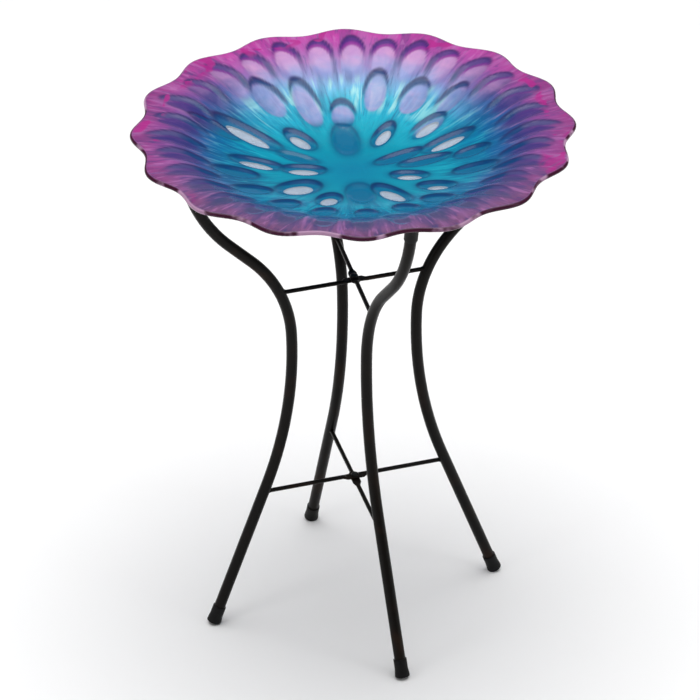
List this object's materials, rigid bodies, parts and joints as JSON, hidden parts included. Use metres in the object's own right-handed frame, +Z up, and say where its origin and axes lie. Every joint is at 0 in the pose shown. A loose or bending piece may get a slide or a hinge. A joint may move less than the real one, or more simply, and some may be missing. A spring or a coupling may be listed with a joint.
{
  "type": "bird bath",
  "caption": "Glass bird bath: a shallow scalloped and dimpled coloured glass bowl resting on a folding black stand of four bowed steel tube legs.",
  "frame": {"origin": "on the floor, on the vertical pivot axis of the stand", "axes": "+Z up along the pivot axis; +X towards the right leg of the side frame; +Y towards the rear leg"},
  "size_m": [0.454, 0.454, 0.5795],
  "materials": {
    "painted_glass": "glossy pressed glass, colour fused on the back, magenta at the rim through blue to teal in the middle",
    "black_powder_coat": "satin black powder coat",
    "black_rubber": "matte moulded rubber",
    "rivet_steel": "satin black, painted over"
  },
  "bodies": {
    "side_frame": {"leg_left": "black_powder_coat", "leg_right": "black_powder_coat", "foot_cap_left": "black_rubber", "foot_cap_right": "black_rubber", "tip_cap_left": "black_rubber", "tip_cap_right": "black_rubber", "side_rod_upper": "black_powder_coat", "side_rod_lower": "black_powder_coat", "pivot_rivet_upper": "rivet_steel", "pivot_rivet_lower": "rivet_steel"},
    "cross_frame": {"leg_front": "black_powder_coat", "leg_rear": "black_powder_coat", "foot_cap_front": "black_rubber", "foot_cap_rear": "black_rubber", "tip_cap_front": "black_rubber", "tip_cap_rear": "black_rubber", "cross_rod_upper": "black_powder_coat", "cross_rod_lower": "black_powder_coat"},
    "bowl": {"glass_bowl": "painted_glass"}
  },
  "joints": [
    {"name": "stand_fold", "type": "hinge", "parent": "side_frame", "child": "cross_frame", "pos_m": [0, 0, 0.402], "axis": [0, 0, 1], "range_deg": [-71, 84.5]},
    {"name": "bowl_lift", "type": "slide", "parent": "side_frame", "child": "bowl", "axis": [0, 0, 1], "range_m": [0, 0.15]}
  ]
}
